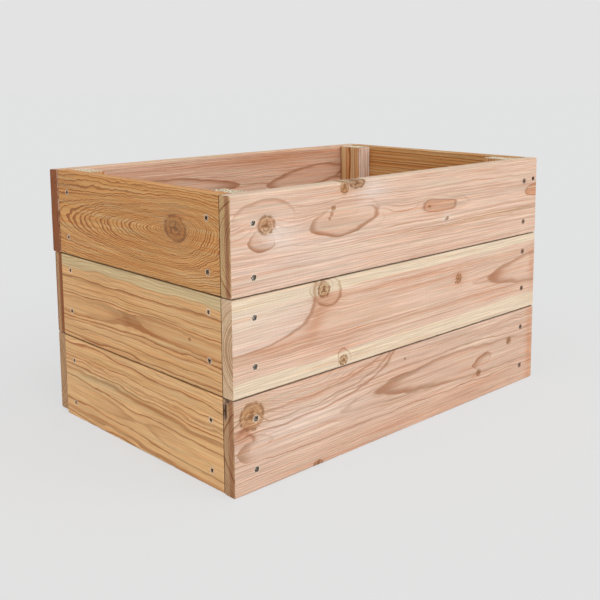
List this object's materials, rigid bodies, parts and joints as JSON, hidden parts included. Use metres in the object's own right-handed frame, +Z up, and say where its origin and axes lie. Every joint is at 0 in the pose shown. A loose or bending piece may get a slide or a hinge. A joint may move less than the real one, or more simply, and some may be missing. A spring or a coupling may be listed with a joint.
{
  "type": "raised garden bed",
  "caption": "Open-bottomed rectangular garden bed of stacked sawn softwood boards, screwed to upright battens in the inside corners.",
  "frame": {"origin": "on the ground, in the middle of the bed's footprint", "axes": "+X along the bed, towards its right end; +Y from the front boards to the back boards; +Z up"},
  "size_m": [0.753, 0.4996, 0.437],
  "materials": {
    "board_wood": "fine-sawn, untreated, with growth rings and knots",
    "batten_wood": "sawn, untreated",
    "screw_steel": "stainless, dull"
  },
  "bodies": {
    "root": {"front_board_low": "board_wood", "front_board_middle": "board_wood", "front_board_top": "board_wood", "right_board_low": "board_wood", "right_board_middle": "board_wood", "right_board_top": "board_wood", "back_board_low": "board_wood", "back_board_middle": "board_wood", "back_board_top": "board_wood", "left_board_low": "board_wood", "left_board_middle": "board_wood", "left_board_top": "board_wood", "corner_batten_front_left": "batten_wood", "corner_batten_back_left": "batten_wood", "corner_batten_front_right": "batten_wood", "corner_batten_back_right": "batten_wood", "front_board_low_screws": "screw_steel", "front_board_middle_screws": "screw_steel", "front_board_top_screws": "screw_steel", "right_board_low_screws": "screw_steel", "right_board_middle_screws": "screw_steel", "right_board_top_screws": "screw_steel", "back_board_low_screws": "screw_steel", "back_board_middle_screws": "screw_steel", "back_board_top_screws": "screw_steel", "left_board_low_screws": "screw_steel", "left_board_middle_screws": "screw_steel", "left_board_top_screws": "screw_steel"}
  },
  "joints": []
}
